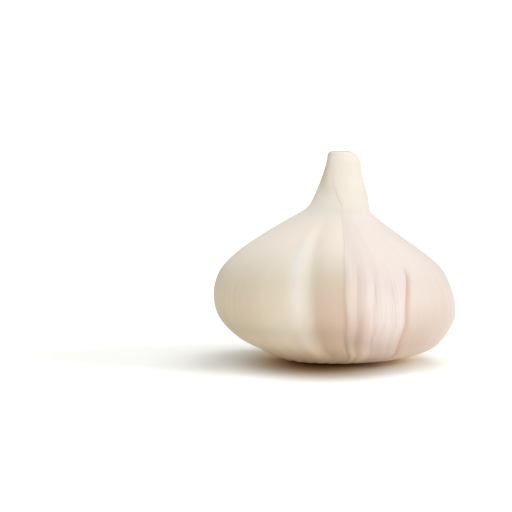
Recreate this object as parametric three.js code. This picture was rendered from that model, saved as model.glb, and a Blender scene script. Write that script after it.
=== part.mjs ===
// A head of garlic, standing upright on its trimmed root plate: a squat body of clove lobes in papery skin,
// drawn in to a short cut neck, and the corky plate that the cloves and roots grew from, set into the
// underside. Millimetres, +Z up. The origin is the centre of the root plate's flat cut face. The front is -Y.
import * as THREE from "three";

// Driving dimensions
const BULB_WIDTH = 60; // across the two big lobes, left to right
const BULB_HEIGHT = 51.9; // from the root plate's cut face to the highest point of the neck
const BULB_DEPTH_SHARE = 0.97; // front to back, as a share of the width
const PLATE_RADIUS = 10.3; // root plate, mean
const PLATE_DEPTH = 2.6; // how far the root plate goes up into the underside
const SEAT_GAP = 0.35; // between the root plate and the skin round it
const SEAT_FLARE = 0.25; // the seat's mouth is this much wider than its roof
const UNDERSIDE_LIFT = 0.45; // the skin's underside stands this far above the plate's cut face

const HALF_WIDTH = BULB_WIDTH / 2;
const DEGREE = Math.PI / 180;

// Sections from the edge of the flat underside to the rim of the cut neck, each
// [height as a share of BULB_HEIGHT, radius and sideways shift as shares of HALF_WIDTH,
//  how strongly the lobes show, depth share]
const SECTIONS = [
  [0.01, 0.465, 0.02, 0.35, 1.0],
  [0.024, 0.562, 0.068, 0.6, 1.0],
  [0.061, 0.71, 0.09, 0.85, 1.0],
  [0.1, 0.813, 0.064, 1.0, 1.0],
  [0.15, 0.897, 0.036, 1.0, 1.0],
  [0.217, 0.97, 0.014, 1.0, 1.0],
  [0.295, 0.988, -0.01, 1.0, 1.0],
  [0.373, 0.964, -0.027, 1.0, 1.0],
  [0.449, 0.9, -0.034, 1.0, 1.0],
  [0.526, 0.758, -0.045, 0.95, 1.0],
  [0.603, 0.569, -0.04, 0.8, 1.0],
  [0.665, 0.406, -0.022, 0.5, 1.0],
  [0.707, 0.297, 0.002, 0.3, 1.0],
  [0.736, 0.251, 0.029, 0.15, 0.98],
  [0.79, 0.218, 0.05, 0.0, 0.94],
  [0.855, 0.195, 0.074, 0.0, 0.9],
  [0.915, 0.164, 0.078, 0.0, 0.87],
  [0.955, 0.144, 0.078, 0.0, 0.85],
];

// The lobes, as [angle where the lobe starts, valley depth there, how far its crest stands out], the last
// two as shares of the section's radius. Angles are degrees from the front, growing towards +X.
const LOBES = [
  [-100, 0.1, 0.045],
  [-13, 0.09, 0.035],
  [110, 0.1, 0.012],
  [153, 0.11, 0.01],
  [204, 0.1, 0.02],
];
const LOBE_ROUNDNESS = 2.7; // power of the lobes' fall towards the valleys
const VALLEY_BLUR = 2.2; // degrees over which the skin bridges the bottom of a valley

// The outer wrapper leaf. Its free edge runs down the front, as [height share, angle].
const EDGE_PATH = [
  [0.0, 1],
  [0.12, 1.2],
  [0.25, 4],
  [0.42, 5.8],
  [0.51, 7.4],
  [0.6, 10],
  [0.67, 10.5],
  [0.72, 8.5],
  [0.755, 2],
  [0.785, -6],
  [0.815, -14.5],
  [0.85, -26],
  [0.9, -35],
  [1.0, -40],
];
const EDGE_ANGLE = 5; // the free edge's plain angle, away from its wander
const EDGE_REACH = 75; // degrees to each side over which the skin's lines follow the free edge
// How the wrapper steps up from the skin beside it, as [height share, mm, degrees that the step takes]
const EDGE_STEPS = [
  [0.0, 0.0, 1.5],
  [0.05, 0.16, 1.4],
  [0.2, 0.3, 1.4],
  [0.48, 0.3, 1.4],
  [0.64, 0.16, 1.6],
  [0.72, 0.16, 2.5],
  [0.78, 0.3, 3.5],
  [0.84, 0.26, 5],
  [0.9, 0.08, 9],
  [1.0, 0.0, 10],
];
const WRAPPER_SPAN = 228; // degrees from the free edge round the back to the wrapper's other edge
const BACK_EDGE_WIDTH = 4; // degrees over which the wrapper steps down there
const SHOWN_SPAN = 90; // degrees before the free edge that count as left of it rather than past the far edge

// Pleats, as [line at the foot, line at the head, width in degrees to the left and to the right, height in
// mm, from and to which height share]. A crease has a negative height. Over the upper half of its length a
// pleat turns towards its head.
const PLEATS = [
  [14, 17, 5, 16, 0.45, 0.04, 0.62],
  [6.8, 7.2, 1.4, 1.3, 0.3, 0.0, 0.56],
  [10.2, 11.6, 1.2, 1.3, -0.4, 0.0, 0.53],
  [13.6, 16, 1.4, 1.8, 0.26, 0.0, 0.52],
  [17.6, 20.4, 1.0, 1.2, -0.24, 0.05, 0.52],
  [26.8, 27.8, 1.0, 1.2, -0.18, 0.08, 0.47],
  [30.2, 32.8, 1.6, 1.6, 0.13, 0.06, 0.5],
  [33.4, 39, 1.0, 2.6, -0.55, 0.03, 0.51],
  [-18.3, -27, 3, 3.5, 0.28, 0.05, 0.7],
  [-14, -21, 5, 9, -0.8, 0.04, 0.66],
];
const PLEAT_FADE = 0.09; // height share over which a pleat dies away at its ends

// The gathers where the skin is drawn in under the bulb. They are deeper and reach further up at the back.
const GATHERS = 24;
const GATHER_DEPTH = [0.12, 0.75]; // at the front and at the back
const GATHER_TOP = [0.12, 0.27]; // height share where they have died away, at the front and at the back
// How the gathers crowd together and spread, as [times round, by this many radians, start in radians], and
// how their depth varies, as [times round, by this share to each side, start in radians]
const GATHER_SWAY = [3, 0.09, 0.6];
const GATHER_UNEVENNESS = [5, 0.2, 1];
const UNDERSIDE_TURN = 0.06; // height share below which the gathers also lift the skin
const LIP_SHARE = 0.35; // the underside is lowest this far out from the seat's mouth to the first section

// The thicker leaf base left round the front of the neck
const COLLAR_STEP = 0.2;
const COLLAR_EDGE = [0.735, 0.75]; // height shares over which it steps up
const COLLAR_FADE = [0.78, 0.93]; // height shares over which it thins out again
const COLLAR_START = 10; // degrees past the free edge where it has its full thickness
const COLLAR_END = [45, 85]; // degrees past the free edge over which it thins out

// The neck's folds, as [degrees past the free edge, width in degrees, share of the radius]
const NECK_FOLDS = [
  [16, 26, 0.05],
  [-40, 24, -0.03],
  [120, 16, -0.06],
  [172, 18, 0.05],
  [232, 14, -0.05],
];
const NECK_FOLD_RISE = [0.72, 0.85]; // height shares over which the folds come in

// The cut across the neck. It falls away to the right, and dry leaf bases are sunk a little inside its rim.
const CUT_FALL = 0.032; // mm down for each cubic mm to the right of the neck's middle
const CUT_FALL_RISE = [0.74, 0.97]; // height shares over which the fall comes in
const CUT_LAYERS = [
  // [share of the rim's distance from the middle, mm below the highest point]
  [0.97, 1.0],
  [0.9, 0.28],
  [0.76, 0.0],
  [0.64, 0.6],
  [0.45, 0.25],
  [0.32, 0.7],
];

// The root plate's outline is nearly round, with one blunt corner
const PLATE_WAVES = [
  // [times round, share of the radius, where it starts in radians]
  [2, 0.035, 0.5],
  [3, 0.025, 2.1],
];
const PLATE_CORNER = [140, 24, 0.07]; // angle, width in degrees, share of the radius
const PLATE_PROFILE = [
  // [share of the plate's radius, height], from the cut face round the worn edge to the top
  [0.5, 0],
  [0.86, 0],
  [0.95, 0.3],
  [1.0, 1.0],
  [0.98, PLATE_DEPTH],
];

// The grid that the skin is drawn on
const COLUMNS_PER_GATHER = 4;
const FINE_STEP = 1.2; // degrees between columns where the wrapper is pleated
const FINE_COLUMNS = 31;
const FINE_FROM = EDGE_ANGLE - 0.7; // just left of the wrapper's step
const PLATE_COLUMNS = 52;

function smoothStep(low, high, value) {
  return THREE.MathUtils.smoothstep(value, low, high);
}

function bell(distance, width) {
  return Math.exp(-((distance / width) ** 2));
}

// Degrees brought into -180 to 180
function wrapped(degrees) {
  return THREE.MathUtils.euclideanModulo(degrees + 180, 360) - 180;
}

// The columns after a table's first, where that first column has a given value, on a smooth curve through
// the table's rows
function curveThrough(table, value) {
  const last = table.length - 1;
  let next = table.findIndex((row) => row[0] > value);
  if (next < 0) next = last;
  next = Math.max(next, 1);
  const start = table[next - 1];
  const end = table[next];
  const before = table[Math.max(next - 2, 0)];
  const after = table[Math.min(next + 1, last)];
  const span = end[0] - start[0];
  const part = THREE.MathUtils.clamp((value - start[0]) / span, 0, 1);
  return start.slice(1).map((_, place) => {
    const column = place + 1;
    const leave = ((end[column] - before[column]) / (end[0] - before[0])) * span;
    const arrive = ((after[column] - start[column]) / (after[0] - start[0])) * span;
    const rise = end[column] - start[column];
    const square = 3 * rise - 2 * leave - arrive;
    const cubic = leave + arrive - 2 * rise;
    return start[column] + ((cubic * part + square) * part + leave) * part;
  });
}

// Where a line of the skin runs at a height share: its own angle, drawn aside by the free edge's wander
function skinAngle(line, height) {
  const [edge] = curveThrough(EDGE_PATH, height);
  return line + (edge - EDGE_ANGLE) * bell(wrapped(line - EDGE_ANGLE), EDGE_REACH);
}

// How far out the lobes stand at an angle, as a share of the section's radius
function lobeAt(angle) {
  const first = LOBES[0][0];
  const turned = first + THREE.MathUtils.euclideanModulo(angle - first, 360);
  const index = LOBES.findLastIndex(([start]) => start <= turned);
  const [start, startDepth, crest] = LOBES[index];
  const following = LOBES[(index + 1) % LOBES.length];
  const end = index === LOBES.length - 1 ? first + 360 : following[0];
  const across = (2 * (turned - start)) / (end - start) - 1;
  const depth = across < 0 ? startDepth : following[1];
  return crest - (crest + depth) * Math.abs(across) ** LOBE_ROUNDNESS;
}

function blurredLobe(angle) {
  const beside = lobeAt(angle - VALLEY_BLUR) + lobeAt(angle + VALLEY_BLUR);
  return lobeAt(angle) / 2 + beside / 4;
}

// How far the gathers draw the skin in, in mm
function gatherAt(line, height) {
  const turn = line * DEGREE;
  const backShare = (1 - Math.cos(turn)) / 2;
  const depth = THREE.MathUtils.lerp(...GATHER_DEPTH, backShare);
  const top = THREE.MathUtils.lerp(...GATHER_TOP, backShare);
  const [swayTimes, sway, swayStart] = GATHER_SWAY;
  const swayed = turn + sway * Math.sin(swayTimes * turn + swayStart);
  const [unevenTimes, unevenness, unevenStart] = GATHER_UNEVENNESS;
  const uneven = 1 - unevenness * (1 - Math.sin(unevenTimes * turn + unevenStart));
  const wave = (1 - Math.cos(GATHERS * swayed)) / 2;
  return depth * uneven * wave * (1 - smoothStep(0, top, height));
}

// The relief of the wrapper, its pleats and the neck's collar at a height share, in mm
function reliefAt(line, height) {
  const turned = THREE.MathUtils.euclideanModulo(line - EDGE_ANGLE, 360);
  const pastEdge = turned > 360 - SHOWN_SPAN ? turned - 360 : turned;
  const [step, stepWidth] = curveThrough(EDGE_STEPS, height);
  const stepUp = smoothStep(-stepWidth / 2, stepWidth / 2, pastEdge);
  const stepDown = smoothStep(WRAPPER_SPAN - BACK_EDGE_WIDTH, WRAPPER_SPAN, pastEdge);
  let relief = step * (stepUp - stepDown);
  for (const [foot, head, left, right, size, from, to] of PLEATS) {
    const grown =
      smoothStep(from - PLEAT_FADE / 2, from + PLEAT_FADE / 2, height) *
      (1 - smoothStep(to - PLEAT_FADE, to, height));
    const turning = smoothStep((from + to) / 2, to, height);
    const aside = wrapped(line - foot - (head - foot) * turning);
    relief += size * grown * bell(aside, aside < 0 ? left : right);
  }
  const collar = smoothStep(...COLLAR_EDGE, height) * (1 - smoothStep(...COLLAR_FADE, height));
  const collarSide = smoothStep(0, COLLAR_START, pastEdge) * (1 - smoothStep(...COLLAR_END, pastEdge));
  return relief + COLLAR_STEP * collar * collarSide;
}

// The neck's folds, as a share of the section's radius
function neckFolds(line, height) {
  const folds = NECK_FOLDS.reduce(
    (sum, [past, width, size]) => sum + size * bell(wrapped(line - EDGE_ANGLE - past), width),
    0,
  );
  return smoothStep(...NECK_FOLD_RISE, height) * folds;
}

function cutFall(aside) {
  return CUT_FALL * Math.max(aside, 0) ** 3;
}

// A point of the skin, on one of its lines at a height share
function skinPoint(line, height) {
  const [radius, shift, lobes, depth] = curveThrough(SECTIONS, height);
  const angle = skinAngle(line, height);
  const stretch = 1 + lobes * blurredLobe(angle) + neckFolds(line, height);
  const gather = gatherAt(line, height);
  const reach = radius * HALF_WIDTH * stretch + reliefAt(line, height) - gather;
  const aside = reach * Math.sin(angle * DEGREE);
  const lift = gather * (1 - smoothStep(0, UNDERSIDE_TURN, height));
  const fall = cutFall(aside) * smoothStep(...CUT_FALL_RISE, height);
  return new THREE.Vector3(
    shift * HALF_WIDTH + aside,
    -reach * Math.cos(angle * DEGREE) * BULB_DEPTH_SHARE * depth,
    height * BULB_HEIGHT + lift - fall,
  );
}

function plateRadius(angle) {
  const [cornerAngle, cornerWidth, cornerSize] = PLATE_CORNER;
  const uneven = PLATE_WAVES.reduce(
    (sum, [times, size, start]) => sum + size * Math.cos(times * angle * DEGREE + start),
    cornerSize * bell(wrapped(angle - cornerAngle), cornerWidth),
  );
  return PLATE_RADIUS * (1 + uneven);
}

function ring(angles, radiusAt, height) {
  return angles.map((angle) => {
    const reach = radiusAt(angle);
    return new THREE.Vector3(
      reach * Math.sin(angle * DEGREE),
      -reach * Math.cos(angle * DEGREE),
      height,
    );
  });
}

// A closed surface from a bottom point, through rings of equally many points, to a top point
function closedSurface(bottom, rings, top) {
  const around = rings[0].length;
  const points = [bottom, ...rings.flat(), top];
  const index = [];
  const at = (level, place) => 1 + level * around + (place % around);
  for (let place = 0; place < around; place += 1) {
    index.push(0, at(0, place + 1), at(0, place));
    for (let level = 0; level < rings.length - 1; level += 1) {
      const here = at(level, place);
      const beside = at(level, place + 1);
      const above = at(level + 1, place);
      const across = at(level + 1, place + 1);
      index.push(here, beside, across, here, across, above);
    }
    const last = rings.length - 1;
    index.push(points.length - 1, at(last, place), at(last, place + 1));
  }
  const geometry = new THREE.BufferGeometry().setFromPoints(points);
  geometry.setIndex(index);
  geometry.computeVertexNormals();
  return geometry;
}

// The skin's lines: close together where the wrapper is pleated, and four to a gather round the rest
function skinLines() {
  const fineSpan = FINE_COLUMNS * FINE_STEP;
  const coarseColumns = Math.round(((360 - fineSpan) / 360) * GATHERS * COLUMNS_PER_GATHER);
  const coarseStep = (360 - fineSpan) / coarseColumns;
  const fine = Array.from({ length: FINE_COLUMNS }, (_, place) => FINE_FROM + place * FINE_STEP);
  const coarse = Array.from(
    { length: coarseColumns },
    (_, place) => FINE_FROM + fineSpan + place * coarseStep,
  );
  return [...fine, ...coarse];
}

// The height shares of the skin's rows: every section, and one row halfway to the next
function skinRows() {
  return SECTIONS.flatMap(([height], place) =>
    place === 0 ? [height] : [(SECTIONS[place - 1][0] + height) / 2, height],
  );
}

// The seat for the root plate, from its roof to its mouth, and the gathered underside
function undersideRings(lines) {
  const seat = (angle) => plateRadius(angle) + SEAT_GAP;
  const roof = ring(lines, seat, PLATE_DEPTH + SEAT_GAP);
  const mouth = ring(lines, (angle) => seat(angle) + SEAT_FLARE, UNDERSIDE_LIFT + SEAT_GAP);
  const lip = lines.map((line, place) => {
    const height = UNDERSIDE_LIFT + gatherAt(line, 0) / 2;
    return mouth[place].clone().lerp(skinPoint(line, SECTIONS[0][0]), LIP_SHARE).setZ(height);
  });
  return [roof, mouth, lip];
}

function neckTopRings(rim) {
  const [, , shift] = SECTIONS[SECTIONS.length - 1];
  const middle = new THREE.Vector3(shift * HALF_WIDTH, 0, 0);
  const rings = CUT_LAYERS.map(([share, below]) =>
    rim.map((point) => {
      const inner = middle.clone().lerp(point, share);
      return inner.setZ(BULB_HEIGHT - below - cutFall(inner.x - middle.x));
    }),
  );
  const lowest = CUT_LAYERS[CUT_LAYERS.length - 1][1];
  return [...rings, [middle.setZ(BULB_HEIGHT - lowest)]];
}

function bulbGeometry() {
  const lines = skinLines();
  const skin = skinRows().map((height) => lines.map((line) => skinPoint(line, height)));
  const neck = neckTopRings(skin[skin.length - 1]);
  const [neckMiddle] = neck.pop();
  const seatMiddle = new THREE.Vector3(0, 0, PLATE_DEPTH + SEAT_GAP);
  return closedSurface(seatMiddle, [...undersideRings(lines), ...skin, ...neck], neckMiddle);
}

function rootPlateGeometry() {
  const angles = Array.from(
    { length: PLATE_COLUMNS },
    (_, place) => (place * 360) / PLATE_COLUMNS,
  );
  const rings = PLATE_PROFILE.map(([share, height]) =>
    ring(angles, (angle) => share * plateRadius(angle), height),
  );
  return closedSurface(
    new THREE.Vector3(0, 0, 0),
    rings,
    new THREE.Vector3(0, 0, PLATE_DEPTH),
  );
}

function namedMesh(name, geometry, colour, roughness) {
  const material = new THREE.MeshStandardMaterial({ color: colour, roughness, metalness: 0 });
  const mesh = new THREE.Mesh(geometry, material);
  mesh.name = name;
  return mesh;
}

const garlic = new THREE.Group();
garlic.add(namedMesh("bulb", bulbGeometry(), 0xf0e4d6, 0.55));
garlic.add(namedMesh("root_plate", rootPlateGeometry(), 0xdcbb8a, 0.9));

export default garlic;
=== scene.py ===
"""Looks for a head of garlic: satin papery skin over clove lobes, a dry cut neck and a corky root plate.

The skin is drawn on lines that run from the root plate up to the neck. An angle is in degrees from the front,
growing towards +X, and a height is a share of the bulb's height. Lengths are in metres.
"""

import math

import bpy
import numpy as np
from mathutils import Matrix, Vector


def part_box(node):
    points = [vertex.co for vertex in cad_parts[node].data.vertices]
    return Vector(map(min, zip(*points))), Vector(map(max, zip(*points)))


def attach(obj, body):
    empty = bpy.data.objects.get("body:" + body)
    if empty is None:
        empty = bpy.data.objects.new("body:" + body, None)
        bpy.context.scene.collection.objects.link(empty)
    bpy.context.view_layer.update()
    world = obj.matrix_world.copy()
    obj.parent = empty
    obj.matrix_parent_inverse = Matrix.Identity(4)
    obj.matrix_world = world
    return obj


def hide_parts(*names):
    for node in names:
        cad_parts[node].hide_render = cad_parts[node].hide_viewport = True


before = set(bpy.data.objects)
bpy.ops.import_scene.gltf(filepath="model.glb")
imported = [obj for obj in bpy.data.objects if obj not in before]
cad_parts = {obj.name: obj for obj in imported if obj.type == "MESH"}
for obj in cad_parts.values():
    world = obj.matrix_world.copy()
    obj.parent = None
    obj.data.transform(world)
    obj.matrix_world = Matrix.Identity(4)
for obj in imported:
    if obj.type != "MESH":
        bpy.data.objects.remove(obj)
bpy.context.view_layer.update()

# Driving dimensions
HALF_WIDTH = 0.030
BULB_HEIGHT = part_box("bulb")[1][2]
DEPTH_SHARE = 0.97  # front to back, as a share of the width
PLATE_RADIUS = 0.0103  # mean
PLATE_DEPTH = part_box("root_plate")[1][2]
SEAT_GAP = 0.00035  # between the root plate and the skin round it
SEAT_FLARE = 0.00025  # the seat's mouth is this much wider than its roof
UNDERSIDE_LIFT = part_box("bulb")[0][2]
MM = 0.001

# The photograph's frame: a point on the bulb's axis, level with the ground, and the size of a pixel there
AXIS_PIXEL = 334.5
GROUND_PIXEL = 359.0
MIDDLE_PIXEL = 256.0
FRAME_PIXELS = 512
PIXEL_SIZE = 0.000249
CAMERA_ELEVATION = math.radians(5.7)
CAMERA_DISTANCE = 0.7
SENSOR = 36.0

# Sections of the skin, each
# [height, radius and sideways shift as shares of the half width, how strongly the lobes show, depth share]
SECTIONS = [
    [0.01, 0.465, 0.02, 0.35, 1.0],
    [0.024, 0.562, 0.068, 0.6, 1.0],
    [0.061, 0.71, 0.09, 0.85, 1.0],
    [0.1, 0.813, 0.064, 1.0, 1.0],
    [0.15, 0.897, 0.036, 1.0, 1.0],
    [0.217, 0.97, 0.014, 1.0, 1.0],
    [0.295, 0.988, -0.01, 1.0, 1.0],
    [0.373, 0.964, -0.027, 1.0, 1.0],
    [0.449, 0.9, -0.034, 1.0, 1.0],
    [0.526, 0.758, -0.045, 0.95, 1.0],
    [0.603, 0.569, -0.04, 0.8, 1.0],
    [0.665, 0.406, -0.022, 0.5, 1.0],
    [0.707, 0.297, 0.002, 0.3, 1.0],
    [0.736, 0.251, 0.029, 0.15, 0.98],
    [0.79, 0.218, 0.05, 0.0, 0.94],
    [0.855, 0.195, 0.074, 0.0, 0.9],
    [0.915, 0.164, 0.078, 0.0, 0.87],
    [0.955, 0.144, 0.078, 0.0, 0.85],
]

# Lobes: [angle where the lobe starts, valley depth there, how far its crest stands out], shares of the radius
LOBES = [
    [-100, 0.1, 0.045],
    [-13, 0.09, 0.035],
    [110, 0.1, 0.012],
    [153, 0.11, 0.01],
    [204, 0.1, 0.02],
]
LOBE_ROUNDNESS = 2.7  # power of the lobes' fall towards the valleys
VALLEY_BLUR = 2.2  # degrees over which the skin bridges the bottom of a valley

# The wrapper leaf's free edge: [height, angle]
EDGE_PATH = [
    [0.0, 1],
    [0.12, 1.2],
    [0.25, 4],
    [0.42, 5.8],
    [0.51, 7.4],
    [0.6, 10],
    [0.67, 10.5],
    [0.72, 8.5],
    [0.755, 2],
    [0.785, -6],
    [0.815, -14.5],
    [0.85, -26],
    [0.9, -35],
    [1.0, -40],
]
EDGE_ANGLE = 5  # its plain angle, away from its wander
EDGE_REACH = 75  # degrees to each side over which the skin's lines follow it
# Its step up from the inner skin: [height, step in mm, degrees that it takes]
EDGE_STEPS = [
    [0.0, 0.0, 1.5],
    [0.05, 0.16, 1.0],
    [0.2, 0.28, 0.7],
    [0.48, 0.28, 0.7],
    [0.64, 0.13, 1.5],
    [0.72, 0.14, 2.5],
    [0.78, 0.3, 3.5],
    [0.84, 0.26, 5],
    [0.9, 0.08, 9],
    [1.0, 0.0, 10],
]
WRAPPER_SPAN = 228  # degrees from the free edge round the back to the wrapper's other edge
SHOWN_SPAN = 90  # degrees before the free edge that count as left of it rather than past the far edge

# Pleats: [line at the foot, line at the head, width to the left and to the right, height in mm, from and to
# which height]. A crease has a negative height. The line turns towards its head over the upper half.
PLEATS = [
    [14, 17, 5, 16, 0.45, 0.04, 0.62],
    [6.8, 7.2, 1.4, 1.2, 0.3, 0.0, 0.56],
    [10.2, 11.6, 1.1, 1.2, -0.4, 0.0, 0.53],
    [13.6, 16, 1.2, 1.8, 0.26, 0.0, 0.52],
    [17.6, 20.4, 0.6, 0.9, -0.28, 0.05, 0.52],
    [22.5, 24, 2.5, 2.5, 0.14, 0.06, 0.52],
    [26.8, 27.8, 0.6, 0.9, -0.22, 0.08, 0.47],
    [30.2, 32.8, 1.5, 1.5, 0.12, 0.06, 0.5],
    [33.4, 39, 0.6, 2.0, -0.6, 0.03, 0.51],
    [-18.3, -27, 3, 3.5, 0.28, 0.05, 0.7],
    [-14, -21, 5, 9, -0.8, 0.04, 0.66],
]
PLEAT_FADE = 0.09  # height share over which a pleat dies away at its ends
# The pale crest beside the deepest fold is only a colour, a painted highlight along it. Its place is given as
# that of a pleat 1 mm high.
CREST_HIGHLIGHT_PLACE = [-19.3, -27, 4, 4.5, 1.0, 0.08, 0.64]

# The gathers where the skin is drawn in under the bulb, which are deeper and reach further up at the back
GATHERS = 24
GATHER_DEPTH = [0.12 * MM, 0.75 * MM]  # at the front and at the back
GATHER_TOP = [0.12, 0.27]  # height where they have died away, at the front and at the back
# How they crowd and spread, as [times round, by this many radians, start in radians], and how their depth
# varies, as [times round, by this share to each side, start in radians]
GATHER_SWAY = [3, 0.09, 0.6]
GATHER_UNEVENNESS = [5, 0.2, 1]
UNDERSIDE_TURN = 0.06  # height below which the gathers also lift the skin
LIP_SHARE = 0.35  # the underside is lowest this far out from the seat's mouth to the first section
UNDERSIDE_SHARES = [0.12, 0.24, LIP_SHARE, 0.5, 0.65, 0.8, 0.92]
SEAT_ROUNDING = 0.1 * MM

# The thicker leaf base left round the front of the neck
COLLAR_STEP = 0.2 * MM
COLLAR_EDGE = [0.735, 0.75]  # heights over which it steps up
COLLAR_FADE = [0.78, 0.93]  # heights over which it thins out again
COLLAR_START = 10  # degrees past the free edge where it has its full thickness
COLLAR_END = [45, 85]  # degrees past the free edge over which it thins out

# The neck's folds: [degrees past the free edge, width in degrees, share of the radius]
NECK_FOLDS = [
    [16, 26, 0.05],
    [-40, 24, -0.03],
    [120, 16, -0.06],
    [172, 18, 0.05],
    [232, 14, -0.05],
]
NECK_FOLD_RISE = [0.72, 0.85]  # heights over which the folds come in

# The cut across the neck falls away to the right
CUT_FALL = 32000.0  # metres down for each cubic metre to the right of the neck's middle
CUT_FALL_RISE = [0.74, 0.97]  # heights over which the fall comes in
# The leaf bases sunk in it: [share of the rim's distance from the middle, mm below the highest point]
CUT_LAYERS = [
    [0.97, 1.0],
    [0.9, 0.28],
    [0.76, 0.0],
    [0.64, 0.6],
    [0.45, 0.25],
    [0.32, 0.7],
]
CUT_SHARES = np.concatenate([np.linspace(0.99, 0.86, 8), np.linspace(0.84, 0.1, 26)])

# What is too fine for the solid, as waves all round the skin:
# [seed, how many waves, fewest and most times round, fewest and most turns on the way up]
DENTS = [11, 9, [3, 14], [0.6, 2.6]]
FIBRES = [12, 14, [70, 190], [0.0, 0.5]]
FIBRE_PATCHES = [13, 5, [4, 11], [0.5, 2.0]]
DENT_HEIGHT = 0.07 * MM
FIBRE_HEIGHT = 0.011 * MM
PATCH_HEIGHTS = [0.6, 0.4]  # the fibres' mean height as a share, and how far it goes up and down from there
FINE_RISE = [0.01, 0.06]  # heights over which the fine relief comes in
FINE_FALL = [0.45, 0.75]  # heights over which it sinks to the share left on the neck
FINE_ON_NECK = 0.1

# The root plate's outline is nearly round, [times round, share of the radius, start in radians], with one
# blunt corner, [angle, width in degrees, share of the radius]
PLATE_WAVES = [[2, 0.035, 0.5], [3, 0.025, 2.1]]
PLATE_CORNER = [140, 24, 0.07]
# Its rings of points, as shares of its radius: over the cut face, round the worn edge with the height in mm,
# and over the top
FACE_SHARES = np.linspace(0.02, 0.86, 90)
WORN_EDGE = [
    [0.89, 0.02],
    [0.92, 0.08],
    [0.95, 0.25],
    [0.985, 0.6],
    [1.0, 1.1],
    [0.995, 1.8],
    [0.98, PLATE_DEPTH / MM],
]
TOP_SHARES = np.linspace(0.9, 0.1, 9)
# The cut face is dished a little, with faint growth rings and the scars of trimmed roots
PLATE_DISH = 0.22 * MM
DISH_FADE = [0.1, 0.8]  # shares of the radius over which the dish gets shallow
PLATE_RINGS = [0.02 * MM, 90]  # height, and radians that the rings turn through out to the edge
RING_CROWDING = 0.8  # power that sets the rings closer together towards the middle
RING_FADE = [0.86, 0.7]
ROOT_SCARS = 80
SCAR_SEED = 21
SCAR_PLACES = [0.4, 0.82]  # shares of the plate's radius
SCAR_SIZES = [0.22 * MM, 0.5 * MM]
SCAR_DEPTHS = [0.05 * MM, 0.15 * MM]

# The grids that the pieces are drawn on
SKIN_COLUMNS = 400
SKIN_ROWS = 196
PLATE_COLUMNS = 360
FRONT_LINES = [8, 34, 2.6]  # the skin's lines crowd round this angle, over this width, this many times closer
LINE_SAMPLES = 3601
HEIGHT_SAMPLES = 2000
# The height that the materials read runs on past the skin's ends, down to the first of these in the seat and
# up to the second on the cut
SEAT_MARK = -0.04
CUT_MARK = 1.1


def smooth_step(low, high, value):
    part = np.clip((value - low) / (high - low), 0.0, 1.0)
    return part * part * (3.0 - 2.0 * part)


def bell(distance, width):
    return np.exp(-((distance / width) ** 2))


def wrapped(degrees):
    return (degrees + 180.0) % 360.0 - 180.0


def curve_through(table, value):
    """The columns after a table's first, on a smooth curve through its rows, one array a column."""
    rows = np.array(table, dtype=float)
    value = np.asarray(value, dtype=float)
    last = len(rows) - 1
    following = np.clip(np.searchsorted(rows[:, 0], value, side="right"), 1, last)
    start = rows[following - 1]
    end = rows[following]
    before = rows[np.maximum(following - 2, 0)]
    after = rows[np.minimum(following + 1, last)]
    span = (end[..., 0] - start[..., 0])[..., None]
    part = np.clip((value - start[..., 0])[..., None] / span, 0.0, 1.0)
    leave = (end - before) / (end[..., :1] - before[..., :1]) * span
    arrive = (after - start) / (after[..., :1] - start[..., :1]) * span
    rise = end - start
    square = 3 * rise - 2 * leave - arrive
    cubic = leave + arrive - 2 * rise
    curve = start + ((cubic * part + square) * part + leave) * part
    return [curve[..., column] for column in range(1, rows.shape[1])]


def skin_angle(line, height):
    """The angle where a line of the skin stands at a height, as it follows the wrapper's free edge."""
    (edge,) = curve_through(EDGE_PATH, height)
    return line + (edge - EDGE_ANGLE) * bell(wrapped(line - EDGE_ANGLE), EDGE_REACH)


def lobe_at(angle):
    """How far the lobes stand out at an angle, as a share of the radius, negative in their valleys."""
    first = LOBES[0][0]
    turned = first + (angle - first) % 360.0
    starts = np.array([lobe[0] for lobe in LOBES] + [first + 360.0])
    depths = np.array([lobe[1] for lobe in LOBES] + [LOBES[0][1]])
    crests = np.array([lobe[2] for lobe in LOBES])
    index = np.clip(np.searchsorted(starts, turned, side="right") - 1, 0, len(LOBES) - 1)
    start = starts[index]
    across = 2.0 * (turned - start) / (starts[index + 1] - start) - 1.0
    depth = np.where(across < 0.0, depths[index], depths[index + 1])
    crest = crests[index]
    return crest - (crest + depth) * np.abs(across) ** LOBE_ROUNDNESS


def blurred_lobe(angle):
    beside = lobe_at(angle - VALLEY_BLUR) + lobe_at(angle + VALLEY_BLUR)
    return lobe_at(angle) / 2.0 + beside / 4.0


def gather_at(line, height):
    """How deep the gathers under the bulb are here."""
    turn = np.radians(line)
    back_share = (1.0 - np.cos(turn)) / 2.0
    depth = GATHER_DEPTH[0] + (GATHER_DEPTH[1] - GATHER_DEPTH[0]) * back_share
    top = GATHER_TOP[0] + (GATHER_TOP[1] - GATHER_TOP[0]) * back_share
    times, sway, start = GATHER_SWAY
    swayed = turn + sway * np.sin(times * turn + start)
    times, unevenness, start = GATHER_UNEVENNESS
    uneven = 1.0 - unevenness * (1.0 - np.sin(times * turn + start))
    wave = (1.0 - np.cos(GATHERS * swayed)) / 2.0
    return depth * uneven * wave * (1.0 - smooth_step(0.0, top, height))


def past_edge(line):
    """Degrees past the wrapper's free edge, negative where the inner skin shows."""
    turned = (line - EDGE_ANGLE) % 360.0
    return np.where(turned > 360.0 - SHOWN_SPAN, turned - 360.0, turned)


def wrapper_cover(line, width):
    """1 where the wrapper leaf lies over the inner skin and 0 where it doesn't."""
    past = past_edge(line)
    step_up = smooth_step(-width / 2, width / 2, past)
    step_down = smooth_step(WRAPPER_SPAN - width, WRAPPER_SPAN, past)
    return step_up - step_down


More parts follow.
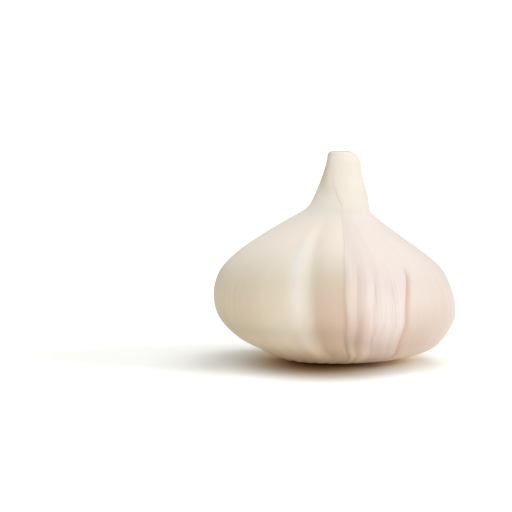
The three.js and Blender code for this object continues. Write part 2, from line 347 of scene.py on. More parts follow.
def pleat_relief(line, height, pleats=PLEATS):
    relief = np.zeros(np.broadcast(line, height).shape)
    for foot, head, left, right, size, low, high in pleats:
        grown = smooth_step(low - PLEAT_FADE / 2, low + PLEAT_FADE / 2, height)
        grown = grown * (1.0 - smooth_step(high - PLEAT_FADE, high, height))
        turning = smooth_step((low + high) / 2, high, height)
        aside = wrapped(line - foot - (head - foot) * turning)
        width = np.where(aside < 0.0, left, right)
        relief += size * MM * grown * bell(aside, width)
    return relief


def collar_cover(line, height):
    past = past_edge(line)
    up = smooth_step(*COLLAR_EDGE, height) * (1.0 - smooth_step(*COLLAR_FADE, height))
    return up * smooth_step(0.0, COLLAR_START, past) * (1.0 - smooth_step(*COLLAR_END, past))


def ripples(line, height, waves):
    """Smooth waves all round the skin, mostly from -1 to 1, at seeded places."""
    seed, count, around, along = waves
    draw = np.random.default_rng(seed)
    total = np.zeros(np.broadcast(line, height).shape)
    for _ in range(count):
        times = draw.integers(around[0], around[1] + 1)
        climb = draw.uniform(along[0], along[1]) * draw.choice([-1.0, 1.0])
        start = draw.uniform(0.0, 2.0 * math.pi)
        total += np.cos(times * np.radians(line) + 2.0 * math.pi * climb * height + start)
    return total / math.sqrt(count)


def fine_relief(line, height):
    """Soft dents, and the fibres that run up the skin."""
    mean, swing = PATCH_HEIGHTS
    dents = DENT_HEIGHT * ripples(line, height, DENTS)
    patchy = mean + swing * ripples(line, height, FIBRE_PATCHES)
    fibres = FIBRE_HEIGHT * ripples(line, height, FIBRES)
    ends = smooth_step(*FINE_RISE, height) * (1.0 - (1.0 - FINE_ON_NECK) * smooth_step(*FINE_FALL, height))
    return (dents + fibres * patchy) * ends


def neck_folds(line, height):
    past = wrapped(line - EDGE_ANGLE)
    folds = sum(size * bell(wrapped(past - place), width) for place, width, size in NECK_FOLDS)
    return smooth_step(*NECK_FOLD_RISE, height) * folds


def cut_fall(aside):
    return CUT_FALL * np.maximum(aside, 0.0) ** 3


def skin_points(line, height):
    """The skin's points where its lines cross these heights."""
    radius, shift, lobes, depth = curve_through(SECTIONS, height)
    angle = skin_angle(line, height)
    turn = np.radians(angle)
    stretch = 1.0 + lobes * blurred_lobe(angle) + neck_folds(line, height)
    gather = gather_at(line, height)
    step, step_width = curve_through(EDGE_STEPS, height)
    relief = step * MM * wrapper_cover(line, step_width)
    relief = relief + pleat_relief(line, height) + COLLAR_STEP * collar_cover(line, height)
    reach = radius * HALF_WIDTH * stretch + relief + fine_relief(line, height) - gather
    aside = reach * np.sin(turn)
    lift = gather * (1.0 - smooth_step(0.0, UNDERSIDE_TURN, height))
    fall = cut_fall(aside) * smooth_step(*CUT_FALL_RISE, height)
    return np.stack(
        [
            shift * HALF_WIDTH + aside,
            -reach * np.cos(turn) * DEPTH_SHARE * depth,
            height * BULB_HEIGHT + lift - fall,
        ],
        axis=-1,
    )


def plate_radius(angle):
    corner_angle, corner_width, corner_size = PLATE_CORNER
    uneven = corner_size * bell(wrapped(angle - corner_angle), corner_width)
    for times, size, start in PLATE_WAVES:
        uneven = uneven + size * np.cos(times * np.radians(angle) + start)
    return PLATE_RADIUS * (1.0 + uneven)


def ring(angle, radius, height):
    turn = np.radians(angle)
    level = np.broadcast_to(height, angle.shape)
    return np.stack([radius * np.sin(turn), -radius * np.cos(turn), level], axis=-1)


def closed_mesh(name, bottom, rings, top, marks):
    """A closed mesh from a bottom point, through rings of equally many points, to a top point.

    marks are the mesh's attributes. Each has an array with one value, or three, for every point of the rings.
    """
    levels, around = rings.shape[:2]
    points = np.vstack([[bottom], rings.reshape(-1, 3), [top]])
    index = 1 + np.arange(levels * around).reshape(levels, around)
    beside = np.roll(index, -1, axis=1)
    quads = np.stack([index[:-1], beside[:-1], beside[1:], index[1:]], axis=-1).reshape(-1, 4)
    low = np.stack([np.zeros(around, int), beside[0], index[0]], axis=-1)
    high = np.stack([np.full(around, len(points) - 1), index[-1], beside[-1]], axis=-1)
    corners = np.concatenate([quads.ravel(), low.ravel(), high.ravel()])
    sizes = np.concatenate([np.full(len(quads), 4), np.full(2 * around, 3)])
    mesh = bpy.data.meshes.new(name)
    mesh.vertices.add(len(points))
    mesh.vertices.foreach_set("co", points.ravel())
    mesh.loops.add(len(corners))
    mesh.loops.foreach_set("vertex_index", corners)
    mesh.polygons.add(len(sizes))
    mesh.polygons.foreach_set("loop_start", np.concatenate([[0], np.cumsum(sizes)[:-1]]))
    mesh.polygons.foreach_set("loop_total", sizes)
    mesh.polygons.foreach_set("use_smooth", np.ones(len(sizes), bool))
    mesh.update(calc_edges=True)
    mesh.validate()
    for mark, values in marks.items():
        width = 1 if values.ndim == 2 else 3
        flat = values.reshape(-1, width)
        whole = np.vstack([flat[:around].mean(axis=0), flat, flat[-around:].mean(axis=0)])
        kind, field = ("FLOAT", "value") if width == 1 else ("FLOAT_VECTOR", "vector")
        attribute = mesh.attributes.new(mark, kind, "POINT")
        attribute.data.foreach_set(field, whole.ravel())
    piece = bpy.data.objects.new(name, mesh)
    bpy.context.scene.collection.objects.link(piece)
    return piece


def crowded_lines():
    """Angles all round, closer together where the wrapper is pleated."""
    middle, width, closer = FRONT_LINES
    steps = np.linspace(0.0, 360.0, LINE_SAMPLES)
    density = 1.0 + (closer - 1.0) * bell(wrapped(steps - middle), width)
    passed = np.concatenate([[0.0], np.cumsum((density[1:] + density[:-1]) / 2.0)])
    wanted = np.linspace(0.0, passed[-1], SKIN_COLUMNS, endpoint=False)
    return np.interp(wanted, passed, steps)


def even_heights():
    """Heights from the underside to the neck's rim, evenly spaced along the skin at its side."""
    steps = np.linspace(SECTIONS[0][0], SECTIONS[-1][0], HEIGHT_SAMPLES)
    radius, shift, _, _ = curve_through(SECTIONS, steps)
    across = np.diff((radius + shift) * HALF_WIDTH)
    passed = np.concatenate([[0.0], np.cumsum(np.hypot(across, np.diff(steps) * BULB_HEIGHT))])
    return np.interp(np.linspace(0.0, passed[-1], SKIN_ROWS), passed, steps)


def underside_rings(lines, first):
    """The seat's roof and wall, and the gathered underside out to the skin's first ring."""
    seat = plate_radius(lines) + SEAT_GAP
    roof = PLATE_DEPTH + SEAT_GAP
    mouth = ring(lines, seat + SEAT_FLARE, UNDERSIDE_LIFT + SEAT_GAP)
    rings = [ring(lines, seat, roof), ring(lines, seat, roof - SEAT_ROUNDING), mouth]
    flat = UNDERSIDE_LIFT + gather_at(lines, 0.0) / 2.0
    for share in UNDERSIDE_SHARES:
        level = mouth + (first - mouth) * share
        sunk = smooth_step(0.0, LIP_SHARE, share)
        level[:, 2] = mouth[:, 2] * (1.0 - sunk) + flat * sunk
        risen = smooth_step(LIP_SHARE, 1.0, share)
        level[:, 2] = level[:, 2] * (1.0 - risen) + first[:, 2] * risen
        rings.append(level)
    return rings


def cut_rings(rim):
    """The cut across the neck, over the rim and the sunk leaf bases."""
    middle = np.array([SECTIONS[-1][2] * HALF_WIDTH, 0.0, 0.0])
    profile = [[1.0, (BULB_HEIGHT - rim[:, 2].max()) / MM]] + CUT_LAYERS
    shares = np.array([row[0] for row in profile])
    rings = []
    for share in CUT_SHARES:
        inner = middle + (rim - middle) * share
        below = np.interp(-share, -shares, [row[1] for row in profile])
        inner[:, 2] = BULB_HEIGHT - below * MM - cut_fall(inner[:, 0] - middle[0])
        rings.append(inner)
    middle[2] = BULB_HEIGHT - CUT_LAYERS[-1][1] * MM
    return rings, middle


def make_skin():
    lines = crowded_lines()
    heights = even_heights()
    line, height = np.meshgrid(lines, heights)
    skin = skin_points(line, height)
    below = underside_rings(lines, skin[0])
    above, neck_middle = cut_rings(skin[-1])
    rings = np.concatenate([np.array(below), skin, np.array(above)])
    under = np.linspace(SEAT_MARK, heights[0], len(below), endpoint=False)
    levels = np.concatenate([under, heights, np.linspace(1.0, CUT_MARK, len(above))])
    line, height = np.meshgrid(lines, levels)
    turn = np.radians(line)
    marks = {
        "grain": np.stack([np.sin(turn), -np.cos(turn), height], axis=-1),
        "wrapper": wrapper_cover(line, 1.0),
        "height": height,
        "side": wrapped(line),
        "turn": np.abs(wrapped(line)),
        "crease": pleat_relief(line, height) / MM,
        # Where the painted highlight lies along the crest beside the deepest fold
        "crest": pleat_relief(line, height, [CREST_HIGHLIGHT_PLACE]) / MM,
    }
    seat_middle = [0.0, 0.0, PLATE_DEPTH + SEAT_GAP]
    return closed_mesh("papery_skin", seat_middle, rings, neck_middle, marks)


def root_scars(points):
    """How deep the scars of trimmed roots go at these points of the cut face."""
    draw = np.random.default_rng(SCAR_SEED)
    depth = np.zeros(points.shape[:2])
    for _ in range(ROOT_SCARS):
        turn = draw.uniform(0.0, 2.0 * math.pi)
        away = draw.uniform(*SCAR_PLACES) * PLATE_RADIUS
        apart = points[..., :2] - away * np.array([math.sin(turn), -math.cos(turn)])
        deepest = draw.uniform(*SCAR_DEPTHS)
        scar = deepest * bell(np.hypot(apart[..., 0], apart[..., 1]), draw.uniform(*SCAR_SIZES))
        depth = np.maximum(depth, scar)
    return depth


def make_root_plate():
    angles = np.linspace(0.0, 360.0, PLATE_COLUMNS, endpoint=False)
    radius = plate_radius(angles)
    face = np.array([ring(angles, radius * share, 0.0) for share in FACE_SHARES])
    scars = root_scars(face)
    height, turning = PLATE_RINGS
    face_shares = FACE_SHARES[:, None]
    growth = 1.0 + np.cos(turning * face_shares**RING_CROWDING)
    growth = height * growth * smooth_step(*RING_FADE, face_shares)
    face[..., 2] = PLATE_DISH * (1.0 - smooth_step(*DISH_FADE, face_shares)) + growth + scars
    side = [ring(angles, radius * share, level * MM) for share, level in WORN_EDGE]
    top = [ring(angles, radius * share, PLATE_DEPTH) for share in TOP_SHARES]
    shares = np.concatenate([FACE_SHARES, [share for share, _ in WORN_EDGE], TOP_SHARES])
    scar_share = np.zeros((len(shares), PLATE_COLUMNS))
    scar_share[: len(face)] = scars / SCAR_DEPTHS[1]
    corner_angle, corner_width, _ = PLATE_CORNER
    corner = bell(wrapped(angles - corner_angle), 2.0 * corner_width)
    marks = {
        "share": np.repeat(shares[:, None], PLATE_COLUMNS, axis=1),
        "scar": scar_share,
        "corner": np.repeat(corner[None], len(shares), axis=0),
    }
    face_middle = [0.0, 0.0, PLATE_DISH]
    top_middle = [0.0, 0.0, PLATE_DEPTH]
    rings = np.concatenate([face, side, top])
    return closed_mesh("cork_plate", face_middle, rings, top_middle, marks)


class Nodes:
    """A material's node tree, with short calls to add nodes and join them."""

    def __init__(self, name):
        self.material = bpy.data.materials.new(name)
        self.material.use_nodes = True
        self.tree = self.material.node_tree
        self.shader = self.tree.nodes["Principled BSDF"]

    def add(self, kind, links=None, **settings):
        node = self.tree.nodes.new(kind)
        for setting, value in settings.items():
            setattr(node, setting, value)
        for socket, source in (links or {}).items():
            if isinstance(source, bpy.types.NodeSocket):
                self.tree.links.new(source, node.inputs[socket])
            else:
                node.inputs[socket].default_value = source
        return node

    def mark(self, name, output="Fac"):
        """One of the mesh's attributes."""
        return self.add("ShaderNodeAttribute", attribute_name=name).outputs[output]

    def math(self, operation, first, second=0.0, clamp=False):
        links = {0: first, 1: second}
        node = self.add("ShaderNodeMath", links, operation=operation, use_clamp=clamp)
        return node.outputs[0]

    def times(self, first, *others):
        for other in others:
            first = self.math("MULTIPLY", first, other)
        return first

    def fade(self, value, low, high, start=0.0, end=1.0):
        """Goes smoothly from start to end while the value goes from low to high."""
        links = {"Value": value, "From Min": low, "From Max": high, "To Min": start, "To Max": end}
        node = self.add("ShaderNodeMapRange", links, interpolation_type="SMOOTHSTEP")
        return node.outputs["Result"]

    def mix(self, share, first, second):
        """The first colour, and a share of the second over it."""
        node = self.tree.nodes.new("ShaderNodeMix")
        node.data_type = "RGBA"
        sockets = [node.inputs[0], node.inputs[6], node.inputs[7]]
        for socket, source in zip(sockets, [share, first, second]):
            if isinstance(source, bpy.types.NodeSocket):
                self.tree.links.new(source, socket)
            else:
                socket.default_value = source
        return node.outputs[2]

    def stretched(self, source, scale):
        node = self.add("ShaderNodeVectorMath", {0: source, 1: scale}, operation="MULTIPLY")
        return node.outputs[0]

    def length(self, vector):
        return self.add("ShaderNodeVectorMath", {0: vector}, operation="LENGTH").outputs["Value"]

    def noise(self, vector, scale, detail, rough):
        links = {"Vector": vector, "Scale": scale, "Detail": detail, "Roughness": rough}
        return self.add("ShaderNodeTexNoise", links).outputs["Fac"]

    def finish(self, colour, bump, strength, depth, **values):
        """Joins the colour, the bumps and the shader's other values, and gives the material."""
        links = {"Height": bump, "Strength": strength, "Distance": depth}
        normal = self.add("ShaderNodeBump", links).outputs["Normal"]
        self.tree.links.new(colour, self.shader.inputs["Base Color"])
        self.tree.links.new(normal, self.shader.inputs["Normal"])
        for socket, value in values.items():
            socket = socket.replace("_", " ")
            if isinstance(value, bpy.types.NodeSocket):
                self.tree.links.new(value, self.shader.inputs[socket])
            else:
                self.shader.inputs[socket].default_value = value
        return self.material


def colour(red, green, blue):
    """An sRGB colour out of 255 as the linear colour that Blender works in."""
    return tuple((value / 255.0) ** 2.2 for value in (red, green, blue)) + (1.0,)


# The skin's colours
INNER_SKIN = colour(194, 188, 172)
UPPER_SKIN = colour(211, 203, 192)
# Duller and yellower low on the left: partly the skin's own tone, partly painted shade on the side away from
# the lamps
LEFT_TONE_AND_SHADE = colour(184, 173, 149)
# Tan and darker on the flank beside the wrapper's edge, more so downwards: partly the skin's tan, partly
# painted shade in the hollow there
FLANK_TAN_AND_SHADE = colour(188, 170, 154)
# Painted light: the skin paler at its very foot, standing in for light bounced up from the floor
BOUNCE_LIT_SKIN = colour(240, 226, 203)
# Painted light: the wrapper paler at its foot, standing in for light bounced up from the floor
BOUNCE_LIT_WRAPPER = colour(223, 203, 186)
# Tan and darker low on the front: partly the skin's tan, partly painted shade where the bulb turns under
TAN_AND_SHADED_WRAPPER = colour(183, 169, 157)
# Painted highlight along the crest beside the deepest fold
RIDGE_HIGHLIGHT = colour(201, 199, 192)
WRAPPER_SKIN = colour(203, 193, 186)
NECK_SKIN = colour(208, 204, 195)
NECK_SHADE = colour(186, 178, 166)
TAN_SKIN = colour(192, 171, 143)
SEAT_SKIN = colour(190, 152, 108)
CUT_SKIN = colour(212, 202, 180)
CUT_SHADE = colour(188, 168, 134)
# Pink blush; along the wrapper's free edge and in the pleats' creases it is also painted shade
BLUSH_AND_SHADE = colour(187, 155, 141)
PALE_STREAK = colour(207, 201, 200)

# Where each comes in: from where it is absent, to where it is at its strongest, and then how weak and how
# strong it is, if that isn't 0 and 1. UP and DOWN are heights, and ROUND is degrees from the front.
SHOULDER_UP = [0.4, 0.62]
LOWER_HALF_DOWN = [0.55, 0.2]
LEFT_ROUND = [-24.0, -56.0]
AHEAD_ROUND = [175.0, 120.0]
FLANK_ROUND = [-16.0, -7.0]
FLANK_DOWN = [0.58, 0.24]
FOOT_DOWN = [0.2, 0.04]
TAN_SHADE_DOWN = [0.36, 0.15]
TAN_SHADE_ROUND = [80.0, 42.0]
WRAPPER_FOOT_DOWN = [0.12, 0.02]
EDGE_FOOT_DOWN = [0.15, 0.05]
EDGE_FOOT_ROUND = [24.0, 14.0]
CREST_UP = [0.18, 0.38, 0.4, 1.0]
NECK_UP = [0.64, 0.75]
NECK_SIDE_ROUND = [6.0, -46.0]
NECK_SIDE_UP = [0.76, 0.88]
SEAT_DOWN = [0.0, -0.035, 0.0, 0.75]
CUT_UP = [1.033, 1.045]
PLEATED_LEFT_ROUND = [12.0, 17.0]
PLEATED_RIGHT_ROUND = [38.0, 29.0]
PLEATED_HEAD_DOWN = [0.5, 0.42]
PLEATED_FOOT_UP = [0.1, 0.26, 0.5, 1.0]
EDGE_LINE_DOWN = [0.38, 0.24, 0.0, 0.6]
EDGE_LINE_ROUND = [20.0, 15.0]
CREASED_ROUND = [3.0, 7.0]
# Over which of a noise pattern's values a colour comes in, and then how strongly
LAYER_NOISE = [0.35, 0.65]
BLUSH_NOISE = [0.35, 0.75, 0.0, 0.3]
TAN_FIBRE_NOISE = [0.45, 0.75, 0.0, 0.1]
PALE_FIBRE_NOISE = [0.5, 0.3, 0.0, 0.1]
STREAK_NOISE = [0.48, 0.68, 0.0, 0.35]
PLEATED_PALENESS = 0.75
CREASE_BLUSH_AND_SHADE = 0.7
CREASE_DEPTH = 0.5  # mm, of a crease that has its full colour
EDGE_LINE_STRENGTH = 4.0  # a share times what it lacks is a quarter at most, and this makes that 1


def inner_skin_colour(nodes, height, side, ahead, low):
    """Paler at the shoulder; duller to the left, partly the skin's own tone and partly painted shade; tan on
    the flank beside the wrapper's edge, partly the skin's tan and partly painted shade; painted light at the
    foot.
    """
    base = nodes.mix(nodes.fade(height, *SHOULDER_UP), INNER_SKIN, UPPER_SKIN)
    # Painted shade, with some of the skin's own duller tone, low on the left away from the lamps
    left = nodes.times(nodes.fade(side, *LEFT_ROUND), ahead, low)
    base = nodes.mix(left, base, LEFT_TONE_AND_SHADE)
    # Partly the skin's tan, partly painted shade in the hollow beside the wrapper's edge, darker downwards
    flank = nodes.times(nodes.fade(side, *FLANK_ROUND), nodes.fade(height, *FLANK_DOWN))
    base = nodes.mix(flank, base, FLANK_TAN_AND_SHADE)
    # Painted light at the foot, standing in for light bounced up from the floor
    return nodes.mix(nodes.fade(height, *FOOT_DOWN), base, BOUNCE_LIT_SKIN)


def wrapper_colour(nodes, height, turn):
    """Tan and darker low down on the front, partly the skin's tan and partly painted shade, and paler at the
    foot, which is painted light standing in for light bounced up from the floor.
    """
    # Partly the skin's tan, partly painted shade low on the front where the bulb turns under
    tan = nodes.times(nodes.fade(height, *TAN_SHADE_DOWN), nodes.fade(turn, *TAN_SHADE_ROUND))
    base = nodes.mix(tan, WRAPPER_SKIN, TAN_AND_SHADED_WRAPPER)
    # Painted light at the wrapper's foot, standing in for light bounced up from the floor
    base = nodes.mix(nodes.fade(height, *WRAPPER_FOOT_DOWN), base, BOUNCE_LIT_WRAPPER)
    # Painted light at the foot beside the wrapper's edge, standing in for light bounced up from the floor
    foot = nodes.times(nodes.fade(height, *EDGE_FOOT_DOWN), nodes.fade(turn, *EDGE_FOOT_ROUND))
    return nodes.mix(foot, base, BOUNCE_LIT_SKIN)


def end_colours(nodes, base, height, side, ahead, layers):
    """Lays over a colour those of the neck, its shaded side, the brown seat and the cut leaf bases."""
    base = nodes.mix(nodes.fade(height, *NECK_UP), base, NECK_SKIN)
    neck_side = nodes.times(nodes.fade(side, *NECK_SIDE_ROUND), nodes.fade(height, *NECK_SIDE_UP), ahead)
    base = nodes.mix(neck_side, base, NECK_SHADE)
    base = nodes.mix(nodes.fade(height, *SEAT_DOWN), base, SEAT_SKIN)
    cut = nodes.mix(nodes.fade(layers, *LAYER_NOISE), CUT_SKIN, CUT_SHADE)
    return nodes.mix(nodes.fade(height, *CUT_UP), base, cut)


def skin_colour(nodes, fibres, fine_fibres, clouds, layers):
    height = nodes.mark("height")
    side = nodes.mark("side")
    turn = nodes.mark("turn")
    wrapper = nodes.mark("wrapper")
    ahead = nodes.fade(turn, *AHEAD_ROUND)
    low = nodes.fade(height, *LOWER_HALF_DOWN)
    inner_skin = inner_skin_colour(nodes, height, side, ahead, low)
    base = nodes.mix(wrapper, inner_skin, wrapper_colour(nodes, height, turn))
    # Painted highlight along the crest beside the deepest fold
    crest = nodes.times(nodes.mark("crest"), nodes.fade(height, *CREST_UP))
    base = nodes.mix(crest, base, RIDGE_HIGHLIGHT)
    base = end_colours(nodes, base, height, side, ahead, layers)
    across = nodes.times(nodes.fade(side, *PLEATED_LEFT_ROUND), nodes.fade(turn, *PLEATED_RIGHT_ROUND))
    up = nodes.times(nodes.fade(height, *PLEATED_HEAD_DOWN), nodes.fade(height, *PLEATED_FOOT_UP))
    pleated = nodes.times(across, up)
    base = nodes.mix(nodes.times(pleated, PLEATED_PALENESS), base, PALE_STREAK)
    # Along the wrapper's free edge: partly a pinkish dry margin, partly painted shade in the step
    edge_line = nodes.times(wrapper, EDGE_LINE_STRENGTH, nodes.math("SUBTRACT", 1.0, wrapper))
    edge_line = nodes.times(edge_line, nodes.fade(height, *EDGE_LINE_DOWN))
    edge_line = nodes.times(edge_line, nodes.fade(side, *EDGE_LINE_ROUND))
    base = nodes.mix(edge_line, base, BLUSH_AND_SHADE)
    base = nodes.mix(nodes.times(nodes.fade(clouds, *BLUSH_NOISE), low), base, BLUSH_AND_SHADE)
    # In the creases: partly pink tint, partly painted shade in the grooves
    crease = nodes.math("MULTIPLY", nodes.mark("crease"), -1.0 / CREASE_DEPTH, clamp=True)
    crease = nodes.times(crease, nodes.fade(side, *CREASED_ROUND), ahead, CREASE_BLUSH_AND_SHADE)
    base = nodes.mix(crease, base, BLUSH_AND_SHADE)
    base = nodes.mix(nodes.fade(fibres, *TAN_FIBRE_NOISE), base, TAN_SKIN)
    base = nodes.mix(nodes.times(nodes.fade(fine_fibres, *STREAK_NOISE), pleated), base, BLUSH_AND_SHADE)
    return nodes.mix(nodes.fade(fibres, *PALE_FIBRE_NOISE), base, PALE_STREAK)


# The skin's noise patterns run up its lines: how far each is squeezed sideways, twice, and upwards
FIBRE_SQUEEZE = (26.0, 26.0, 1.2)
FINE_FIBRE_SQUEEZE = (90.0, 90.0, 3.0)
CLOUD_SQUEEZE = (3.0, 3.0, 4.0)
LAYER_SQUEEZE = (2.0, 2.0, 160.0)
FINE_FIBRE_BUMP = 0.5  # as a share of the fibres' own
SKIN_ROUGHNESS = [0.2, 0.8, 0.45, 0.58]  # over which of the fibres' values, and from what to what


def skin_material():
    nodes = Nodes("papery_skin")
    grain = nodes.mark("grain", "Vector")
    fibres = nodes.noise(nodes.stretched(grain, FIBRE_SQUEEZE), scale=1.0, detail=4.0, rough=0.6)
    fine_fibres = nodes.noise(nodes.stretched(grain, FINE_FIBRE_SQUEEZE), scale=1.0, detail=2.0, rough=0.6)
    clouds = nodes.noise(nodes.stretched(grain, CLOUD_SQUEEZE), scale=1.0, detail=4.0, rough=0.5)
    layers = nodes.noise(nodes.stretched(grain, LAYER_SQUEEZE), scale=1.0, detail=2.0, rough=0.5)
    return nodes.finish(
        skin_colour(nodes, fibres, fine_fibres, clouds, layers),
        bump=nodes.math("ADD", nodes.times(fine_fibres, FINE_FIBRE_BUMP), fibres),
        strength=0.12,
        depth=0.2 * MM,
        Roughness=nodes.fade(fibres, *SKIN_ROUGHNESS),
        Subsurface_Weight=0.2,
        Subsurface_Scale=4.0 * MM,
        Subsurface_Radius=(1.0, 0.6, 0.4),
        Specular_IOR_Level=0.3,
    )


# The root plate's colours, and over which values of a pattern or shares of the radius they come in
CORK = colour(206, 176, 132)
PALE_CORK = colour(218, 194, 156)
BROWN_CORK = colour(138, 100, 62)
OLIVE_CORK = colour(158, 134, 88)
CLOUD_SIZE = 1.0 / 260.0
SPECK_SIZE = 1.0 / 1500.0
PALE_CLOUDS = [0.35, 0.65]
BROWN_SPECKS = [0.52, 0.72, 0.0, 0.45]
BROWN_SCARS = [0.1, 0.9, 0.0, 0.5]
BROWN_EDGE = [0.88, 1.02, 0.0, 0.85]
EDGE_WANDER = 0.12  # how far the clouds push the brown edge in and out
CORNER_OUTWARDS = [0.55, 0.9, 0.0, 0.7]
CLOUD_BUMP = 0.6  # as a share of the specks' own


def plate_material():
    nodes = Nodes("root_plate_cork")
    place = nodes.add("ShaderNodeTexCoord").outputs["Object"]
    clouds = nodes.noise(place, scale=1.0 / CLOUD_SIZE, detail=4.0, rough=0.55)
    specks = nodes.noise(place, scale=1.0 / SPECK_SIZE, detail=5.0, rough=0.65)
    share = nodes.mark("share")
    base = nodes.mix(nodes.fade(clouds, *PALE_CLOUDS), CORK, PALE_CORK)
    base = nodes.mix(nodes.fade(specks, *BROWN_SPECKS), base, BROWN_CORK)
    corner = nodes.times(nodes.mark("corner"), nodes.fade(share, *CORNER_OUTWARDS))
    base = nodes.mix(corner, base, OLIVE_CORK)
    base = nodes.mix(nodes.fade(nodes.mark("scar"), *BROWN_SCARS), base, BROWN_CORK)
    uneven_share = nodes.math("ADD", share, nodes.times(clouds, EDGE_WANDER))
    base = nodes.mix(nodes.fade(uneven_share, *BROWN_EDGE), base, BROWN_CORK)
    return nodes.finish(
        base,
        bump=nodes.math("ADD", nodes.times(clouds, CLOUD_BUMP), specks),
        strength=0.5,
        depth=0.2 * MM,
        Roughness=0.85,
        Specular_IOR_Level=0.2,
    )


def add_camera():
    camera_data = bpy.data.cameras.new("camera")
    camera_data.sensor_width = SENSOR
    camera_data.lens = CAMERA_DISTANCE / PIXEL_SIZE * SENSOR / FRAME_PIXELS
    camera_data.clip_start = 0.01
    camera = bpy.data.objects.new("camera", camera_data)
    across = (MIDDLE_PIXEL - AXIS_PIXEL) * PIXEL_SIZE
    above = (GROUND_PIXEL - MIDDLE_PIXEL) * PIXEL_SIZE / math.cos(CAMERA_ELEVATION)
    target = Vector((across, 0.0, above))
    away = Vector((0.0, -math.cos(CAMERA_ELEVATION), math.sin(CAMERA_ELEVATION)))
    camera.location = target + away * CAMERA_DISTANCE
    camera.rotation_euler = away.to_track_quat("Z", "Y").to_euler()
    bpy.context.scene.collection.objects.link(camera)
    bpy.context.scene.camera = camera


# The floor carries a painted shadow, darkest in a soft patch in front of the bulb; close to the bulb's foot
# it is painted warm, standing in for light bounced off the bulb; far away it glows
# Painted shadow: the floor's dark brown patch in front of the bulb
SHADED_FLOOR = (0.21, 0.115, 0.035, 1.0)
# Painted bounce light: the floor warm close to the bulb's foot
BOUNCE_WARMED_FLOOR = (1.0, 0.86, 0.68, 1.0)
LIT_FLOOR = (0.82, 0.83, 0.8, 1.0)
FLOOR_GLOW = (1.4, 1.35, 1.3, 1.0)
SHADE_MIDDLE = (-0.0036, -0.014, 0.0)
SHADE_FADE = [0.001, 0.0365]  # distances from the patch's middle
SHADE_NARROWING = 1.45  # the patch is this much deeper than wide
BOUNCE_WARM_FADE = [0.016, 0.022]  # distances from the bulb's axis
GLOW_FADE = [0.07, 0.16]
FLOOR_REACH = 20.0


def floor_material():
    nodes = Nodes("floor")
    nodes.shader.inputs["Roughness"].default_value = 0.9
    nodes.shader.inputs["Specular IOR Level"].default_value = 0.1
    place = nodes.add("ShaderNodeTexCoord").outputs["Object"]
    away = nodes.length(place)
    patch = nodes.add("ShaderNodeVectorMath", {0: place, 1: SHADE_MIDDLE}, operation="SUBTRACT").outputs[0]
    patch = nodes.length(nodes.stretched(patch, (SHADE_NARROWING, 1.0, 1.0)))
    # Painted bounce light: warm close to the bulb's foot
    lit_tint = nodes.mix(nodes.fade(away, *BOUNCE_WARM_FADE), BOUNCE_WARMED_FLOOR, LIT_FLOOR)
    # Painted shadow in a soft patch in front of the bulb
    tint = nodes.mix(nodes.fade(patch, *SHADE_FADE), SHADED_FLOOR, lit_tint)
    nodes.tree.links.new(tint, nodes.shader.inputs["Base Color"])
    glow = nodes.add("ShaderNodeEmission", {"Color": FLOOR_GLOW, "Strength": 1.0}).outputs[0]
    shaders = {0: nodes.fade(away, *GLOW_FADE), 1: nodes.shader.outputs[0], 2: glow}
    mix = nodes.add("ShaderNodeMixShader", shaders)
    nodes.tree.links.new(mix.outputs[0], nodes.tree.nodes["Material Output"].inputs["Surface"])
    return nodes.material


def add_floor():
    low = -FLOOR_REACH
    high = FLOOR_REACH
    corners = [(low, low, 0.0), (high, low, 0.0), (high, high, 0.0), (low, high, 0.0)]
    mesh = bpy.data.meshes.new("floor")
    mesh.from_pydata(corners, [], [(0, 1, 2, 3)])
    mesh.materials.append(floor_material())
    floor = bpy.data.objects.new("floor", mesh)
    bpy.context.scene.collection.objects.link(floor)
    return floor


# The lamps look at a point inside the bulb. Those that light it from low down are warm.
LAMP_TARGET = Vector((0.0, 0.0, 0.02))
WHITE = (1.0, 1.0, 1.0)
WARM = (1.0, 0.88, 0.75)
FAINTLY_WARM = (1.0, 0.92, 0.8)
BOUNCED = (1.0, 0.88, 0.74)


def add_softbox(name, place, size, power, tint=WHITE):
    light = bpy.data.lights.new(name, "AREA")
    light.shape = "DISK"
    light.size = size
    light.energy = power
    light.color = tint
    lamp = bpy.data.objects.new(name, light)
    lamp.location = place
    aim = LAMP_TARGET - Vector(place)
    lamp.rotation_euler = aim.to_track_quat("-Z", "Y").to_euler()
    bpy.context.scene.collection.objects.link(lamp)
    return lamp


# What lights the scene from all round is bright above and dim and warm below. The camera sees plain white.
SEEN_SKY = 1.05
HIGH_SKY = (1.15, 1.15, 1.17)
LOW_SKY = (0.2, 0.16, 0.12)
SKY_RISE = [0.1, 0.7]  # from level with the ground, 0, to straight above, 1


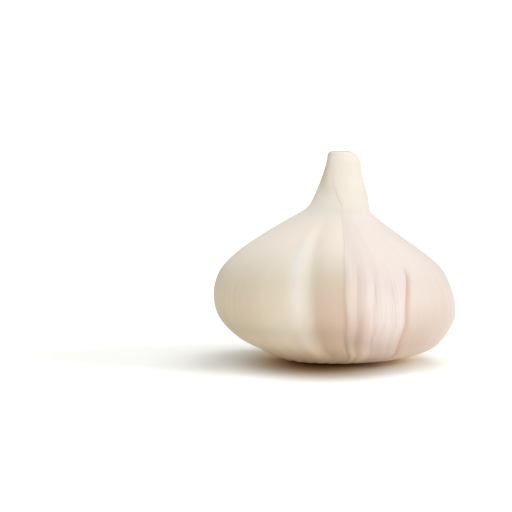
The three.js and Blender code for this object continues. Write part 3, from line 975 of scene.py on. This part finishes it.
def add_world():
    world = bpy.data.worlds.new("studio")
    bpy.context.scene.world = world
    world.use_nodes = True
    tree = world.node_tree
    seen = tree.nodes["Background"]
    seen.inputs["Color"].default_value = (1.0, 1.0, 1.0, 1.0)
    seen.inputs["Strength"].default_value = SEEN_SKY
    fill = tree.nodes.new("ShaderNodeBackground")
    direction = tree.nodes.new("ShaderNodeTexCoord")
    level = tree.nodes.new("ShaderNodeSeparateXYZ")
    tree.links.new(direction.outputs["Generated"], level.inputs[0])
    sky = tree.nodes.new("ShaderNodeMapRange")
    sky.data_type = "FLOAT_VECTOR"
    sky.interpolation_type = "SMOOTHSTEP"
    lowest, highest = ([share] * 3 for share in SKY_RISE)
    for socket, values in zip(sky.inputs[7:11], [lowest, highest, LOW_SKY, HIGH_SKY]):
        socket.default_value = values
    tree.links.new(level.outputs["Z"], sky.inputs[6])
    tree.links.new(sky.outputs[1], fill.inputs["Color"])
    path = tree.nodes.new("ShaderNodeLightPath")
    mix = tree.nodes.new("ShaderNodeMixShader")
    tree.links.new(path.outputs["Is Camera Ray"], mix.inputs[0])
    tree.links.new(fill.outputs[0], mix.inputs[1])
    tree.links.new(seen.outputs[0], mix.inputs[2])
    tree.links.new(mix.outputs[0], tree.nodes["World Output"].inputs["Surface"])


def light_only(lamp, name, receivers, through_floor=False):
    """Lets a lamp light these pieces alone. Only they shade one that shines through the floor."""
    lit = bpy.data.collections.new(name)
    for receiver in receivers:
        lit.objects.link(receiver)
    lamp.light_linking.receiver_collection = lit
    if through_floor:
        lamp.light_linking.blocker_collection = lit


def dress(piece, node, material):
    piece.data.materials.append(material)
    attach(piece, "root")
    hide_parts(node)


add_camera()
floor = add_floor()
add_world()
add_softbox("overhead", (0.3, 0.4, 0.85), size=0.7, power=3.0)
key = add_softbox("key", (0.75, -0.5, 0.12), size=0.4, power=2.8)
low_fill = add_softbox("low_fill", (0.2, -0.9, 0.03), size=0.3, power=3.0, tint=WARM)
left_fill = add_softbox("left_fill", (-0.8, -0.4, 0.04), size=0.4, power=1.4, tint=FAINTLY_WARM)
bounce = add_softbox("bounce", (0.05, -0.5, -0.3), size=0.3, power=0.6, tint=BOUNCED)
floor_lamp = add_softbox("floor_lamp", (0.9, -0.1, 0.3), size=0.6, power=8.0)
bpy.context.scene.view_settings.view_transform = "Standard"

skin = make_skin()
root_plate = make_root_plate()
dress(skin, "bulb", skin_material())
dress(root_plate, "root_plate", plate_material())
pieces = [skin, root_plate]
light_only(floor_lamp, "floor_light", [floor])
light_only(key, "key_light", pieces)
light_only(low_fill, "low_light", pieces)
light_only(left_fill, "left_light", pieces)
light_only(bounce, "bounce_light", pieces, through_floor=True)
